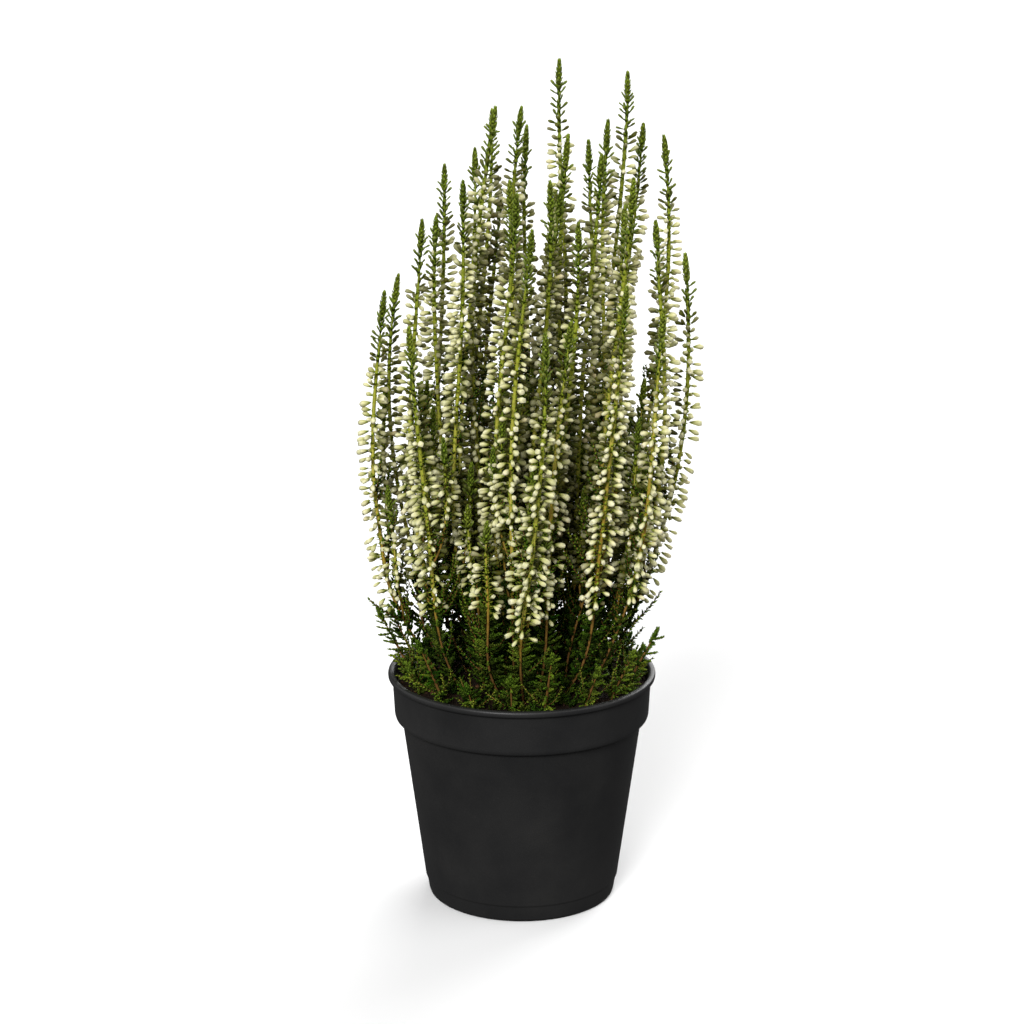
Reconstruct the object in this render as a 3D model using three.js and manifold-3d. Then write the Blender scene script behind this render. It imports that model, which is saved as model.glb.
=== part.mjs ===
// A potted bud-blooming heather: a round nursery pot filled with soil, flowering sprays that fan out
// of it, and short leafy shoots that lean over its rim.
// Millimetres, +Z up, the bush's front towards -Y, origin at the centre of the pot's base.
import * as THREE from "three";
import { mergeVertices } from "three/addons/utils/BufferGeometryUtils.js";
import Module from "manifold-3d";

const wasm = await Module();
wasm.setup();

// ---- driving dimensions ----

const TAU = 2 * Math.PI;
const gap = 0.3; // between two pieces that touch

const pot = {
  height: 96,
  wall: 1.3,
  baseRadius: 39, // at the bottom corner
  shoulderRadius: 49.4, // just under the band
  bandRadius: 52.4, // at the band's lower edge
  bandFlare: 0.8, // how much wider the band gets up to the lip
  lipRadius: 55, // the outermost edge
  lipWidth: 2.4,
  lipHeight: 3,
  lipSlope: 0.7, // height of the slope under the lip
  bandHeight: 19,
  shoulderSlope: 1.2, // height of the slope under the band
  cornerWidth: 1.2, // of the bevel round the bottom
  cornerHeight: 1.6,
  footRadius: 12, // of the flat disc in the middle of the base
  ringRadius: 30, // inside edge of the ring that it stands on
  channel: 2.5, // how far the base is raised between disc and ring
  channelSlope: 1.4, // width of the slopes on either side of it
  drains: 6,
  drainRadius: 4,
  drainSides: 8,
  sides: 30,
};

const soil = {
  edgeDrop: 5, // of its edge below the pot's lip
  mound: 3, // rise of its middle over its edge
  slopeAt: 0.6, // share of its radius where the mound gets steeper
  holeDepth: 12,
};

const bush = {
  sprays: 40,
  rootSpread: 34, // radius of the bush where it leaves the soil
  flare: 40, // how much wider it gets
  flareHeight: 72, // over about this height
  closing: 0.0002, // how the outer sprays come in again, per mm of height squared
  drift: 8, // how far the bush leans to the right on its way up
  tallest: 224, // above the soil
  sidesShorter: 0.22, // share of the height that the outermost sprays lack
  backTaller: 0.14, // share that the rear adds and the front lacks
  rightTaller: 0.05,
  scatter: 0.11, // of the heights, up or down
  turnScatter: 0.1, // of a spray's place round the pot, in radians
  lateFrom: 0.5, // share of the bush's radius past which some sprays came up late
  lateShare: 0.22, // of those sprays
  lateShortest: 0.4, // height of a late spray, against the others
  lateTallest: 0.7,
  leafy: 44, // height of the leafy foot, without buds
  tip: 27, // length of the green tip with unripe buds
};

const stalk = {
  corners: 6, // of a section: every other one carries a bud or a leaf
  radius: 1.15,
  thinning: 0.25, // share of its radius that it loses towards the tip
  pitch: 7.6, // between sections
  lowest: 4, // height of the first leaves
  budReach: 6,
  leafReach: 5,
  room: 0.118, // share of the bush's half width that a leaf has room for
  opening: 8, // from the last leaves up to the first full buds
  young: 75, // from the tip down to where the buds are full-sized
  youngSize: 0.7, // of the smallest buds, against full ones
  leafLift: 2.2, // how far a leaf's point lies above its base
  budDrop: 2.4, // how much lower a ripe bud's point lies
  sway: 3.6, // how far a stalk wanders off its smooth line
  swayHeight: 90, // over which it starts to
  swayAcross: 38, // height in which it turns by one radian, to the side
  swayBack: 47, // and to the front or back
  bow: 8, // how far its middle may bulge outwards
  bowInwards: 0.3, // share of the stalks' bulges that go inwards
};

const shoots = {
  count: 18,
  radius: 1,
  root: 44, // distance from the pot's axis at which they leave the soil
  shortest: 12,
  tallest: 32,
  lowest: 3, // height of the first leaves
  lean: 0.5, // how far they lean outwards, per mm of height
  turnScatter: 0.3, // of a shoot's place round the pot, as a share of the space between two
  reach: 5.4,
  lift: 1.8,
  narrowing: 0.5, // share of the reach that is lost towards the tip
  pitch: 4.4,
  point: 1.5, // height of the closed end
};

// Sections of a spray's green tip: share of its length, reach.
const TIP_SECTIONS = [
  [0, 3.6],
  [0.26, 2.7],
  [0.54, 1.9],
  [0.8, 1.5],
];

const colours = { pot: 0x2b2b2c, soil: 0x3a2a1d, spray: 0xe2dfc0, shoot: 0x4b6a25 };

// ---- helpers ----

// A repeatable draw from 0 to 1 for stalk i and purpose k.
const draw = (i, k) => {
  const s = Math.sin(i * 12.9898 + k * 78.233) * 43758.5453;
  return s - Math.floor(s);
};

const material = (color, roughness) => new THREE.MeshStandardMaterial({ color, roughness, metalness: 0 });

const lathe = (profile, sides) =>
  new THREE.LatheGeometry(
    profile.map(([r, z]) => new THREE.Vector2(r, z)),
    sides,
  ).rotateX(Math.PI / 2);

function solidOf(geometry) {
  const bare = geometry.clone();
  bare.deleteAttribute("normal");
  bare.deleteAttribute("uv");
  const merged = mergeVertices(bare, 1e-4);
  return new wasm.Manifold(
    new wasm.Mesh({
      numProp: 3,
      vertProperties: merged.attributes.position.array,
      triVerts: new Uint32Array(merged.index.array),
    }),
  );
}

function geometryOf(solid) {
  const mesh = solid.getMesh();
  return new THREE.BufferGeometry()
    .setAttribute("position", new THREE.BufferAttribute(mesh.vertProperties, 3))
    .setIndex(new THREE.BufferAttribute(mesh.triVerts, 1));
}

// ---- pot ----

const bandBottom = pot.height - pot.bandHeight;
const floorTop = pot.wall + pot.channel;

// The inside keeps about the wall's thickness to the outside, also where that bends.
const slopeShift = 0.6; // of the channel's slopes, from outside to inside
const innerCorner = 1; // width of the bevel round the bottom
const cornerTop = 4; // height at which it ends
const shoulderTop = 1.6; // how far the slope under the band reaches into the band
const lipDepth = 2; // how far the lip reaches down inside

// Radius of the pot's inner wall below the band, at height z.
const innerWall = (z) =>
  pot.baseRadius - pot.wall + ((pot.shoulderRadius - pot.baseRadius) * z) / bandBottom;

function potGeometry() {
  const outside = [
    [0, 0],
    [pot.footRadius, 0],
    [pot.footRadius + pot.channelSlope, pot.channel],
    [pot.ringRadius - pot.channelSlope, pot.channel],
    [pot.ringRadius, 0],
    [pot.baseRadius - pot.cornerWidth, 0],
    [pot.baseRadius, pot.cornerHeight],
    [pot.shoulderRadius, bandBottom - pot.shoulderSlope],
    [pot.bandRadius, bandBottom],
    [pot.bandRadius + pot.bandFlare, pot.height - pot.lipHeight],
    [pot.lipRadius, pot.height - pot.lipHeight + pot.lipSlope],
    [pot.lipRadius, pot.height],
  ];
  const inside = [
    [0, pot.wall],
    [pot.footRadius - slopeShift, pot.wall],
    [pot.footRadius - slopeShift + pot.channelSlope, floorTop],
    [pot.ringRadius + slopeShift - pot.channelSlope, floorTop],
    [pot.ringRadius + slopeShift, pot.wall],
    [pot.baseRadius - pot.wall - innerCorner, pot.wall],
    [innerWall(cornerTop), cornerTop],
    [innerWall(bandBottom), bandBottom],
    [pot.bandRadius - pot.wall, bandBottom + shoulderTop],
    [pot.bandRadius + pot.bandFlare - pot.wall, pot.height - lipDepth],
    [pot.lipRadius - pot.lipWidth, pot.height],
  ].reverse();
  let shell = solidOf(lathe([...outside, ...inside], pot.sides));
  for (let i = 0; i < pot.drains; i++) {
    const angle = (TAU * (i + 0.5)) / pot.drains;
    const middle = (pot.footRadius + pot.ringRadius) / 2;
    const length = 4 * pot.channel; // well past the base on both sides
    const drain = new THREE.CylinderGeometry(pot.drainRadius, pot.drainRadius, length, pot.drainSides)
      .rotateX(Math.PI / 2)
      .translate(middle * Math.cos(angle), middle * Math.sin(angle), pot.channel);
    shell = shell.subtract(solidOf(drain));
  }
  return geometryOf(shell);
}

// ---- stalks: the rule that places them and the shape they share ----

const soilEdge = pot.height - soil.edgeDrop;
const soilRadius = pot.bandRadius + 0.4 - pot.wall - gap;

// Height of the soil's surface at a distance from the pot's axis.
const soilTop = (r) => soilEdge + soil.mound * (1 - (r / soilRadius) ** 2);

// Half the width of the bush at height h over the soil.
const spread = (h) =>
  bush.rootSpread + bush.flare * (1 - Math.exp(-h / bush.flareHeight)) - bush.closing * h * h;

// Sprays stand on a sunflower spiral, from the middle outwards, each a little off its place.
const GOLDEN_ANGLE = Math.PI * (3 - Math.sqrt(5));
function sprayPlan(i) {
  const rim = Math.sqrt((i + 0.5) / bush.sprays); // 0 in the middle of the bush, 1 at its edge
  const angle = i * GOLDEN_ANGLE + bush.turnScatter * (draw(i, 1) - 0.5);
  const side = { x: Math.cos(angle), y: Math.sin(angle) };
  const outward = bush.rightTaller * side.x + bush.backTaller * side.y;
  const shape = 1 - bush.sidesShorter * rim ** 2 + outward * rim;
  const late = bush.lateShortest + (bush.lateTallest - bush.lateShortest) * draw(i, 11);
  const grown = rim > bush.lateFrom && draw(i, 9) < bush.lateShare ? late : 1;
  const height = bush.tallest * grown * shape * (1 + bush.scatter * (2 * draw(i, 2) - 1));
  return { i, rim, angle, side, height };
}

// Centre of spray i at height h over the soil.
function sprayAxis(plan, h) {
  const share = h / plan.height;
  const loose = stalk.sway * (1 - Math.exp(-h / stalk.swayHeight)); // none at the root
  const bow = stalk.bow * plan.rim * Math.sin(Math.PI * share) * (draw(plan.i, 3) - stalk.bowInwards);
  const out = plan.rim * spread(h) + bow;
  const swayX = loose * Math.sin(h / stalk.swayAcross + TAU * draw(plan.i, 4));
  const swayY = loose * Math.sin(h / stalk.swayBack + TAU * draw(plan.i, 5));
  return {
    x: plan.side.x * out + swayX + (bush.drift * h) / bush.tallest,
    y: plan.side.y * out + swayY,
  };
}

// A stalk is a stack of level six-cornered sections. Every other corner of a section stands out as a
// bud or a leaf, and the section above stands out at the corners between, so that buds or leaves
// cover the stalk on all sides.
// levels: [{ x, y, z, radius, reach, lift }], from the bottom up. The last one is the pointed tip.
function stalkGeometry(levels, turn) {
  const n = stalk.corners;
  const rings = levels.slice(0, -1);
  const tip = levels[levels.length - 1];
  const points = [];
  const faces = [];
  const standsOut = (k, j) => (k + j) % 2 === 0;
  const corner = (k, j) => k * n + (j % n);
  rings.forEach((level, k) => {
    for (let j = 0; j < n; j++) {
      const angle = turn + (TAU * j) / n;
      const out = standsOut(k, j);
      const r = out ? level.reach : level.radius;
      const z = out ? level.z + level.lift : level.z;
      points.push(level.x + r * Math.cos(angle), level.y + r * Math.sin(angle), z);
    }
  });
  for (let k = 0; k + 1 < rings.length; k++) {
    for (let j = 0; j < n; j++) {
      const [a, b, c, d] = [corner(k, j), corner(k, j + 1), corner(k + 1, j + 1), corner(k + 1, j)];
      // The fold joins the two corners that lie on the stem.
      if (standsOut(k, j)) faces.push(a, b, d, b, c, d);
      else faces.push(a, b, c, a, c, d);
    }
  }
  const top = points.length / 3;
  points.push(tip.x, tip.y, tip.z);
  for (let j = 0; j < n; j++) {
    faces.push(corner(rings.length - 1, j), corner(rings.length - 1, j + 1), top);
    if (j > 0 && j < n - 1) faces.push(corner(0, 0), corner(0, j + 1), corner(0, j));
  }
  return new THREE.BufferGeometry()
    .setAttribute("position", new THREE.Float32BufferAttribute(points, 3))
    .setIndex(faces);
}

// ---- sprays ----

// The two plain sections that stand in the soil's hole, the lower one just clear of its bottom.
const rootLevels = (root, ground, radius) =>
  [ground - soil.holeDepth + gap, ground].map((z) => ({ ...root, z, radius, reach: radius, lift: 0 }));

function sprayGeometry(plan) {
  const root = sprayAxis(plan, 0);
  const ground = soilTop(Math.hypot(root.x, root.y));
  const levels = rootLevels(root, ground, stalk.radius);
  const grow = (h, radius, reach, lift) =>
    levels.push({ ...sprayAxis(plan, h), z: ground + h, radius, reach, lift });
  const tipStart = plan.height - bush.tip;
  const steps = Math.round((tipStart - stalk.lowest) / stalk.pitch);
  for (let s = 0; s < steps; s++) {
    const h = stalk.lowest + ((tipStart - stalk.lowest) * s) / steps;
    const open = Math.min(1, Math.max(0, (h - bush.leafy) / stalk.opening)); // 0 at leaves, 1 at buds
    const ripe = Math.min(1, (plan.height - h) / stalk.young); // 0 at the tip
    const leaf = Math.min(stalk.leafReach, stalk.room * spread(h));
    const bud = stalk.budReach * (stalk.youngSize + (1 - stalk.youngSize) * ripe);
    const radius = stalk.radius * (1 - stalk.thinning * (1 - ripe));
    grow(h, radius, leaf + (bud - leaf) * open, stalk.leafLift - stalk.budDrop * open * ripe);
  }
  for (const [share, reach] of TIP_SECTIONS) {
    grow(tipStart + bush.tip * share, stalk.radius * (1 - stalk.thinning), reach, stalk.leafLift);
  }
  grow(plan.height, 0, 0, 0);
  return stalkGeometry(levels, TAU * draw(plan.i, 6));
}

// ---- leafy shoots, in a ring around the sprays ----

const shootPlan = (i) => ({
  i,
  angle: (TAU * (i + shoots.turnScatter * draw(i, 10))) / shoots.count,
  height: shoots.shortest + (shoots.tallest - shoots.shortest) * draw(i, 7) ** 2, // most stay short
});

function shootAxis(plan, h) {
  const r = shoots.root + shoots.lean * h;
  return { x: r * Math.cos(plan.angle), y: r * Math.sin(plan.angle) };
}

function shootGeometry(plan) {
  const root = shootAxis(plan, 0);
  const ground = soilTop(shoots.root);
  const levels = rootLevels(root, ground, shoots.radius);
  const grow = (h, radius, reach, lift) =>
    levels.push({ ...shootAxis(plan, h), z: ground + h, radius, reach, lift });
  const steps = Math.round((plan.height - shoots.lowest) / shoots.pitch);
  for (let s = 0; s < steps; s++) {
    const share = s / steps;
    const h = shoots.lowest + (plan.height - shoots.lowest) * share;
    grow(h, shoots.radius, shoots.reach * (1 - shoots.narrowing * share ** 2), shoots.lift);
  }
  grow(plan.height + shoots.point, 0, 0, 0);
  return stalkGeometry(levels, TAU * draw(plan.i, 8));
}

// ---- soil, with a plain hole for each stalk ----

function soilGeometry(roots) {
  const bevel = 1.5; // where the soil turns from the pot's floor, clear of its slopes
  const slopeRadius = soil.slopeAt * soilRadius;
  const profile = [
    [0, pot.wall + gap],
    [pot.footRadius - bevel, pot.wall + gap],
    [pot.footRadius + gap, floorTop + gap],
    [pot.ringRadius - gap, floorTop + gap],
    [pot.ringRadius + bevel, pot.wall + gap],
    [innerWall(pot.wall) - bevel, pot.wall + gap],
    [innerWall(cornerTop) - gap, cornerTop + 2 * gap],
    [innerWall(bandBottom) - gap, bandBottom + gap],
    [pot.bandRadius - pot.wall - gap, bandBottom + shoulderTop + gap],
    [soilRadius, soilTop(soilRadius)],
    [slopeRadius, soilTop(slopeRadius)],
    [0, soilTop(0)],
  ];
  let body = solidOf(lathe(profile, pot.sides));
  for (const { x, y, radius } of roots) {
    const across = (radius + gap) * Math.SQRT2; // a square hole's corner lies this far from its middle
    const length = 2 * soil.holeDepth; // half of it stands over the soil
    const hole = new THREE.CylinderGeometry(across, across, length, 4)
      .rotateX(Math.PI / 2)
      .translate(x, y, soilTop(Math.hypot(x, y)));
    body = body.subtract(solidOf(hole));
  }
  return geometryOf(body);
}

// ---- assembly ----

const group = new THREE.Group();
function add(name, geometry, finish) {
  const mesh = new THREE.Mesh(geometry, finish);
  mesh.name = name;
  group.add(mesh);
}

const sprays = Array.from({ length: bush.sprays }, (_, i) => sprayPlan(i));
const leafyShoots = Array.from({ length: shoots.count }, (_, i) => shootPlan(i));
const roots = [
  ...sprays.map((plan) => ({ ...sprayAxis(plan, 0), radius: stalk.radius })),
  ...leafyShoots.map((plan) => ({ ...shootAxis(plan, 0), radius: shoots.radius })),
];

const number = (i) => String(i + 1).padStart(2, "0");
const sprayFinish = material(colours.spray, 0.6);
const shootFinish = material(colours.shoot, 0.7);
add("pot", potGeometry(), material(colours.pot, 0.5));
add("soil", soilGeometry(roots), material(colours.soil, 0.95));
for (const plan of sprays) add(`spray_${number(plan.i)}`, sprayGeometry(plan), sprayFinish);
for (const plan of leafyShoots) add(`leafy_shoot_${number(plan.i)}`, shootGeometry(plan), shootFinish);

export default group;
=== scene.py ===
"""A potted bud-blooming heather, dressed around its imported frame.

The nursery pot and its soil are turned on a lathe. Each spray and each leafy shoot grows along the line of
its node in the frame: a woody stem, leafy sprigs at its foot, buds in crossed pairs above and a green tip.
Lengths are written in millimetres and turned into metres by MM.
"""

import math

import bpy
import numpy as np
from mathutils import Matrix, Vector, noise


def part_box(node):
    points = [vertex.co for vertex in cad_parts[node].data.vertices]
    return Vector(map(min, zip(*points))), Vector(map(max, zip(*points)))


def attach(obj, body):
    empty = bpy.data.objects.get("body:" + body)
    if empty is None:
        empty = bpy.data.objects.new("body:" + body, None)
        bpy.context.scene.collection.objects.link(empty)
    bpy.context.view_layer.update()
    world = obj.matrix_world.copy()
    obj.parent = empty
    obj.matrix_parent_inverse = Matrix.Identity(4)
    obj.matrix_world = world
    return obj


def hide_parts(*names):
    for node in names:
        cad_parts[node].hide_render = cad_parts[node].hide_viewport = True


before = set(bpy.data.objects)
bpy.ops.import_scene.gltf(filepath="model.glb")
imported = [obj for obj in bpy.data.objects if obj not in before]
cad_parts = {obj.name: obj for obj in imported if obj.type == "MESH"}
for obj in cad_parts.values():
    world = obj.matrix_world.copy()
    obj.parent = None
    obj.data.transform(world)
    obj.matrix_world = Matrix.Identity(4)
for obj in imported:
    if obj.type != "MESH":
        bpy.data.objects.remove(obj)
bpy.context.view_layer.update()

MM = 0.001
TAU = 2 * math.pi
SEED = 11
# Where the numbers of the random draws start, for each use of them.
DRAWS = {"spray": 0, "shoot": 200, "crook": 300, "crumbs": 700, "ground": 800, "sprig": 900, "bud": 950}

# ---- pot and soil, as in the frame ----

POT_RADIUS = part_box("pot")[1].y
POT_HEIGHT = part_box("pot")[1].z
WALL = 1.3 * MM
BAND_HEIGHT = 19 * MM
LIP_HEIGHT = 3 * MM
LIP_WIDTH = 2.4 * MM
BAND_RADIUS = POT_RADIUS - 2.6 * MM
SHOULDER_RADIUS = BAND_RADIUS - 3 * MM
BASE_RADIUS = 39 * MM
RING_RADIUS = 30 * MM
FOOT_RADIUS = 12 * MM
CHANNEL = 2.5 * MM
DRAINS = 6
DRAIN_RADIUS = 4 * MM
SOIL_EDGE = POT_HEIGHT - 5 * MM
SOIL_MOUND = 3 * MM
SOIL_RADIUS = BAND_RADIUS - WALL + 0.1 * MM
GAP = 0.3 * MM  # from the soil to the pot below its band
POT_SIDES, DRILL_SIDES, SOIL_SIDES = 112, 24, 140
SOIL_RINGS = 40
CRUMBS, CRUMB_KINDS = 420, 6
CLUMPS, CLUMP_SPRIGS = 46, 8

# ---- how heather grows ----

ROOT_DEPTH = 11.7 * MM  # of a stalk's lower end under the soil's surface
STEM_RADIUS, SHOOT_RADIUS, BRANCH_RADIUS = 0.74 * MM, 0.55 * MM, 0.5 * MM
RING_PITCH = 3.6 * MM  # along a stem, between the rings of its corners
LEAFY = 45 * MM  # height of the foot, where there are no buds
CANDLE = 10 * MM  # closed end of a spray, of scale leaves alone
FULL_LENGTH = 140 * MM  # of a spray whose candle is no shorter than that
SPRAY_CANDLE, BRANCH_CANDLE, SHOOT_CANDLE = 2.7 * MM, 2.3 * MM, 2.2 * MM  # thickness
CANDLE_RANKS = 4  # scale leaves around each level of a candle
CANDLE_PITCH = 1.05 * MM
NODE_PITCH = 1.5 * MM  # from one pair of buds to the next, which stands across it
BUD_LENGTH = 4.4 * MM
BUD_RADIUS = 1.1 * MM
SEPALS = 4
BRACT = np.array([1.9, 0.55, 0.4]) * MM  # length, width and depth of the leaf on either side of a bud
PEDICEL_TOP, PEDICEL_FOOT = 1.2 * MM, 3.0 * MM  # length of a bud's stalk, high and low on its spray
PEDICEL_RADIUS = 0.22 * MM
MISSING, DOUBLED = 0.08, 0.12  # share of the buds that are missing, and that have another beside them
TURNED_ASIDE = 0.45  # share of the buds over a spray's open sides
UNRIPE = 17 * MM  # under the candle, where the buds are still narrow and green
SPRAY_REACH = 6.5 * MM  # from a spray's stem to the ends of its buds
LIGHT_STEP = 8 * MM  # along a stalk, between the places where its light is reckoned
LIGHT_SIDES = 8
LIGHT_RISE = math.radians(22)
BLOCKING = 0.55  # of light, by each step of another stalk that it passes
DIM, BRIGHT = 0.2, 0.58  # light below which buds are painted in full shade, dark and dull, and above which they keep their cream
SHADED = 0.38  # shade past which buds have fewer faces and no bracts
SPRIG_KINDS, SPRIG_PAIRS = 5, 6
SPRIG_PITCH = 0.8 * MM  # from one sprig to the next, on whichever side
SPRIG_LENGTH, SHOOT_SPRIG_LENGTH = 7.6 * MM, 6.2 * MM
SPRIG_RANKS = ((0.48 * math.pi, 0.22), (-0.48 * math.pi, 0.22), (math.pi, 0.6))  # azimuth and its scatter
LEAF_LENGTH = 2.3 * MM
BACK_TWIGS, FOOT_TWIGS, SHOOT_TWIGS = 9, 4, 7
BRANCHES = 2  # lesser sprays beside each spray, where it is tall enough for them

# ---- small helpers ----


def draws(use, index=0):
    """Random draws that stay the same whatever the others take."""
    return np.random.default_rng([SEED, DRAWS[use] + index])


def unit(v):
    return v / np.linalg.norm(v, axis=-1, keepdims=True)


def column(values):
    return np.reshape(values, (-1, 1))


def smooth_step(x, low, high):
    t = np.clip((x - low) / (high - low), 0, 1)
    return t * t * (3 - 2 * t)


def node_points(name):
    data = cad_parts[name].data
    co = np.zeros(len(data.vertices) * 3)
    data.vertices.foreach_get("co", co)
    return co.reshape(-1, 3)


def new_object(name, data):
    obj = bpy.data.objects.new(name, data)
    bpy.context.scene.collection.objects.link(obj)
    return obj


# ---- a line that something grows along ----


class Line:
    """A smooth line through points, measured by the distance from its first point."""

    def __init__(self, points):
        self.points = np.array(points, float)
        steps = np.linalg.norm(np.diff(self.points, axis=0), axis=1)
        self.along = np.concatenate([[0], np.cumsum(steps)])
        self.length = self.along[-1]

    def place(self, s):
        return np.stack([np.interp(s, self.along, self.points[:, k]) for k in range(3)], -1)

    def heading(self, s):
        reach = 2.5 * MM
        ahead = self.place(np.minimum(s + reach, self.length))
        return unit(ahead - self.place(np.maximum(s - reach, 0)))

    def axes(self, s):
        """Place, heading and the two directions across it, each as an array of rows."""
        t = self.heading(s)
        u = unit(np.array([1.0, 0, 0]) - t[..., :1] * t)
        return self.place(s), t, u, np.cross(t, u)

    def ground(self):
        """Where the stalk comes out of the soil."""
        return np.interp(self.points[0, 2] + ROOT_DEPTH, self.points[:, 2], self.along)

    def light_at(self, s, turn):
        """The light that reaches the side of the stalk at azimuth turn, from 0 to 1."""
        sides = np.stack([np.interp(s, self.light_places, row) for row in self.light], -1)
        azimuth = TAU * np.arange(LIGHT_SIDES) / LIGHT_SIDES
        weight = np.clip(0.35 + np.cos(column(turn) - azimuth), 0, None)
        return (sides * weight).sum(-1) / weight.sum(-1)


def line_of_node(name):
    """The middle line of a stalk's node: the mean of the corners that lie on the stem, section by section."""
    on_stem = 1.3 * MM
    level = 0.02 * MM
    points = np.unique(np.round(node_points(name), 7), axis=0)
    points = points[np.argsort(points[:, 2])]
    cuts = np.nonzero(np.diff(points[:, 2]) > level)[0] + 1
    middles = []
    for section in np.split(points, cuts):
        middle = section.mean(0)
        if np.linalg.norm(section[0, :2] - middle[:2]) < on_stem:
            middles.append(middle)
    return Line(middles)


def crooked(line, rng):
    """The line with a slow bend and a quicker one in its first stretch above the soil, fading out upwards."""
    stretch, step = 75 * MM, 3 * MM
    slow_reach, quick_reach = 2.8 * MM, 1.3 * MM
    s = np.linspace(0, line.length, int(line.length / step))
    t = np.clip((s - line.ground()) / stretch, 0, 1)
    slow, quick = (1 - t) * np.sin(math.pi * t), (1 - t) * np.sin(TAU * t)
    place, _, *directions = line.axes(s)
    for direction in directions:
        bend = slow_reach * rng.normal() * slow + quick_reach * rng.normal() * quick
        place = place + column(bend) * direction
    return Line(place)


def reckon_light(lines):
    """Gives each stalk the share of the light that gets past the others, from a few sides, step by step."""
    places = [np.arange(0, line.length, LIGHT_STEP) for line in lines]
    points = np.concatenate([line.place(s) for line, s in zip(lines, places)])
    between = points[None] - points[:, None]
    square = (between**2).sum(-1)
    sides = []
    for k in range(LIGHT_SIDES):
        azimuth = TAU * k / LIGHT_SIDES
        level = np.array([math.cos(azimuth), math.sin(azimuth), 0]) * math.cos(LIGHT_RISE)
        ahead = between @ (level + np.array([0, 0, math.sin(LIGHT_RISE)]))
        blocked = np.exp(-(square - ahead**2) / SPRAY_REACH**2) * (ahead > SPRAY_REACH)
        sides.append(np.exp(-BLOCKING * blocked.sum(1)))
    cuts = np.cumsum([len(s) for s in places])[:-1]
    for line, s, light in zip(lines, places, np.split(np.array(sides), cuts, axis=1)):
        line.light_places, line.light = s, light


def twig_line(line, start, points):
    """The line of a twig that leaves a stalk at start, stays near it and so has its light."""
    twig = Line(points)
    twig.light_places, twig.light = line.light_places - start, line.light
    return twig


def side_line(line, start, azimuth, rise, length, bend):
    """A side twig's line: it leaves the stem at a low angle and bends upwards."""
    steps = 8
    basis = line.axes(np.array([start]))
    angle = column(rise + bend * np.arange(steps) / steps)
    heading = np.cos(angle) * across(basis, azimuth) + np.sin(angle) * basis[1]
    way = np.concatenate([np.zeros((1, 3)), np.cumsum(heading, 0)]) * (length / steps)
    return twig_line(line, start, basis[0] + way)


def beside(line, start, azimuth, distance, length):
    """The line of a branch that leaves its stem at start and soon runs beside it, at a distance."""
    lag = 14 * MM
    corners = 16
    x = np.linspace(0, length, corners)
    basis = line.axes(start + x)
    out = column(distance * (1 - np.exp(-x / lag)))
    return twig_line(line, start, basis[0] + out * across(basis, azimuth))


# Place, heading and the two directions across it, of a line straight up.
UPRIGHT = np.array([[0, 0, 0], [0, 0, 1.0], [1, 0, 0], [0, 1, 0]])


def across(basis, azimuth):
    """Directions straight away from a line, by azimuth around it."""
    _, _, u, v = basis
    return np.cos(column(azimuth)) * u + np.sin(column(azimuth)) * v


def outward_axes(basis, azimuth, elevation, length, width, depth, roll=0.0):
    """Matrices that point a shape's +Z away from a line, by azimuth around it and elevation towards its end.

    roll turns the shape about its own +Z."""
    t = basis[1]
    radial = across(basis, azimuth)
    cos, sin = np.cos(column(elevation)), np.sin(column(elevation))
    out = cos * radial + sin * t
    up = cos * t - sin * radial
    side = np.cross(up, out)
    c, r = np.cos(column(roll)), np.sin(column(roll))
    side, up = c * side + r * up, c * up - r * side
    return np.stack([side * column(width), up * column(depth), out * column(length)], -1)


# ---- shapes: small closed bodies to copy ----


def closed_faces(rings, sides):
    """Faces of a closed body whose points are its bottom, its rings of corners and its top."""
    last = 1 + (rings - 1) * sides
    faces = []
    for j in range(sides):
        k = (j + 1) % sides
        faces.append((0, 1 + k, 1 + j))
        for a in range(1, last, sides):
            b = a + sides
            faces.append((a + j, a + k, b + k, b + j))
        faces.append((last + j, last + k, last + sides))
    return faces


def turned(outline, sides, inset=1.0):
    """Points of a body turned round Z, whose outline of (radius, height) starts and ends on the axis.

    inset multiplies the radius of each corner of a ring."""
    turn = TAU * np.arange(sides) / sides
    points = [(0, 0, outline[0][1])]
    for radius, height in outline[1:-1]:
        r = radius * inset
        points.extend(np.stack([r * np.cos(turn), r * np.sin(turn), np.full(sides, height)], -1))
    return np.array([*points, (0, 0, outline[-1][1])])


def triangles(faces):
    """The faces cut into triangles from the first corner of each."""
    return np.array([(face[0], face[i], face[i + 1]) for face in faces for i in range(1, len(face) - 1)])


def shape_of(points, faces, along, tone=0.0):
    return {"points": points, "faces": faces, "along": along, "tone": tone + np.zeros(len(points))}


def spindle(rings, sides, groove=0.0, painted_groove_shade=0.0):
    """A closed body along +Z from 0 to 1 through rings of (radius, height).

    Every other corner lies in by groove, as a share of the radius, and has its tone lowered by the last
    argument, which paints shade into the grooves."""
    inner = np.arange(sides) % 2
    points = turned([(0, 0), *rings, (0, 1)], sides, 1 - groove * inner)
    tone = np.concatenate([[0], np.tile(-painted_groove_shade * inner, len(rings)), [0]])
    return shape_of(points, triangles(closed_faces(len(rings), sides)), points[:, 2], tone)


def merge_shapes(shapes):
    sizes = np.cumsum([0] + [len(s["points"]) for s in shapes])
    merged = {key: np.concatenate([s[key] for s in shapes]) for key in ("points", "along", "tone")}
    return {**merged, "faces": np.concatenate([s["faces"] + n for s, n in zip(shapes, sizes)])}


def moved_shape(shape, place, axes, along, tone):
    points = np.array(place) + shape["points"] @ np.array(axes).T
    return shape_of(points, shape["faces"], along + np.zeros(len(points)), tone)


def bent(shape, amount):
    """The shape with its end bent towards -Y, by amount of its length."""
    points = shape["points"].copy()
    points[:, 1] -= amount * points[:, 2] ** 2
    return {**shape, "points": points}


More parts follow.
